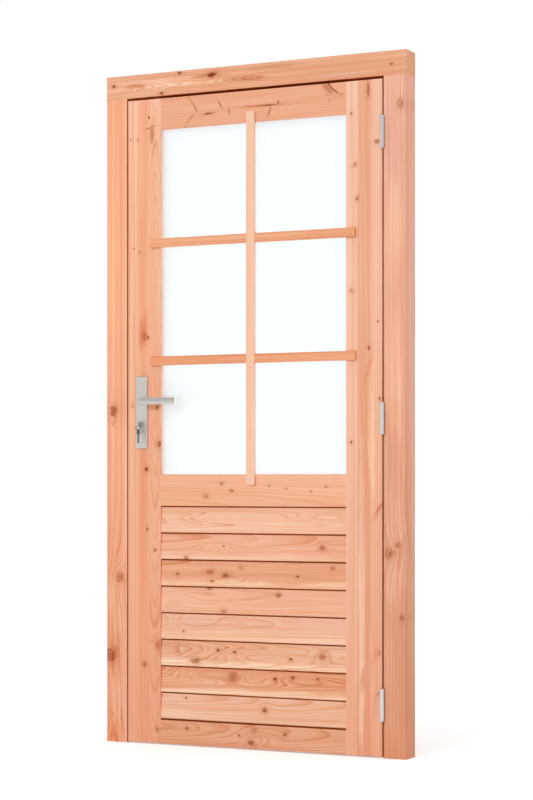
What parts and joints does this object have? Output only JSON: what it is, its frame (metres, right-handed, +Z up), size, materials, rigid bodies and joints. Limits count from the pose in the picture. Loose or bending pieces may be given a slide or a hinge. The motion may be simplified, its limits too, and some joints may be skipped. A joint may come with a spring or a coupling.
{
  "type": "glazed door",
  "caption": "Half-glazed softwood door in its own rebated frame, with planted bars over the glass, lapped boards below, butt hinges and a long-plate lever lock.",
  "frame": {"origin": "on the floor under the middle of the frame, on the leaf's mid-plane", "axes": "+X towards the hinge side, +Y towards the inside, +Z up; the leaf opens towards -Y"},
  "size_m": [1.02, 0.143, 2.1],
  "materials": {
    "frame_wood": "planed pink-orange softwood, untreated",
    "stile_wood": "planed laminated softwood, untreated",
    "rail_wood": "planed softwood, untreated",
    "bar_wood": "planed softwood, untreated",
    "board_wood": "planed knotty softwood, untreated",
    "glass": "satin, with a faint blue tint",
    "rubber": "black rubber",
    "handle_aluminium": "satin anodised",
    "hinge_steel": "zinc-plated",
    "lock_steel": "zinc-plated",
    "screw_steel": "zinc-plated",
    "cylinder_brass": "nickel-plated brass",
    "key_metal": "nickel-plated brass, darkened"
  },
  "bodies": {
    "frame": {"left_jamb": "frame_wood", "right_jamb": "frame_wood", "head": "frame_wood", "corner_screws": "screw_steel", "weather_seal": "rubber", "strike_plate": "lock_steel", "frame_screws": "screw_steel", "top_hinge_jamb_leaf": "hinge_steel", "top_hinge_pin": "hinge_steel", "middle_hinge_jamb_leaf": "hinge_steel", "middle_hinge_pin": "hinge_steel", "bottom_hinge_jamb_leaf": "hinge_steel", "bottom_hinge_pin": "hinge_steel"},
    "door_leaf": {"left_stile": "stile_wood", "right_stile": "stile_wood", "top_rail": "rail_wood", "lock_rail": "rail_wood", "bottom_rail": "rail_wood", "leaf_dowels": "rail_wood", "glass_pane": "glass", "glazing_tape": "rubber", "setting_blocks": "rubber", "upright_bar": "bar_wood", "lower_cross_bar": "bar_wood", "upper_cross_bar": "bar_wood", "panel_pins": "screw_steel", "leaf_screws": "screw_steel", "lock_case": "lock_steel", "lock_forend": "lock_steel", "front_plate": "handle_aluminium", "back_plate": "handle_aluminium", "plate_bolts": "screw_steel", "cylinder_body": "cylinder_brass", "back_plug": "cylinder_brass", "cylinder_screw": "screw_steel", "bottom_bead": "rail_wood", "top_bead": "rail_wood", "left_bead": "rail_wood", "right_bead": "rail_wood", "board_1": "board_wood", "board_2": "board_wood", "board_3": "board_wood", "board_4": "board_wood", "board_5": "board_wood", "board_6": "board_wood", "board_7": "board_wood", "board_8": "board_wood", "top_hinge_door_leaf": "hinge_steel", "middle_hinge_door_leaf": "hinge_steel", "bottom_hinge_door_leaf": "hinge_steel"},
    "levers": {"front_lever": "handle_aluminium", "back_lever": "handle_aluminium", "spindle": "lock_steel", "follower": "lock_steel"},
    "latch": {"latch_bolt": "lock_steel"},
    "dead_bolt": {"dead_bolt": "lock_steel"},
    "keys": {"front_plug": "cylinder_brass", "key": "key_metal", "key_ring": "key_metal", "spare_key": "key_metal"}
  },
  "joints": [
    {"name": "door_swing", "type": "hinge", "parent": "frame", "child": "door_leaf", "pos_m": [0.435, -0.0275, 1.01], "axis": [0, 0, 1], "range_deg": [0, 170]},
    {"name": "lever_turn", "type": "hinge", "parent": "door_leaf", "child": "levers", "pos_m": [-0.381, 0, 1.072], "axis": [0, 1, 0], "range_deg": [0, 45], "stiffness_Nm_per_rad": 1, "springref_deg": -57.3},
    {"name": "latch_slide", "type": "slide", "parent": "door_leaf", "child": "latch", "axis": [1, 0, 0], "range_m": [0, 0.012]},
    {"name": "key_turn", "type": "hinge", "parent": "door_leaf", "child": "keys", "pos_m": [-0.381, 0, 1], "axis": [0, 1, 0], "range_deg": [0, 360]},
    {"name": "dead_bolt_slide", "type": "slide", "parent": "door_leaf", "child": "dead_bolt", "axis": [-1, 0, 0], "range_m": [0, 0.02]}
  ],
  "couplings": [
    {"joint": "latch_slide", "follows": "lever_turn", "m_per_rad": 0.01527},
    {"joint": "dead_bolt_slide", "follows": "key_turn", "m_per_rad": 0.003183}
  ]
}
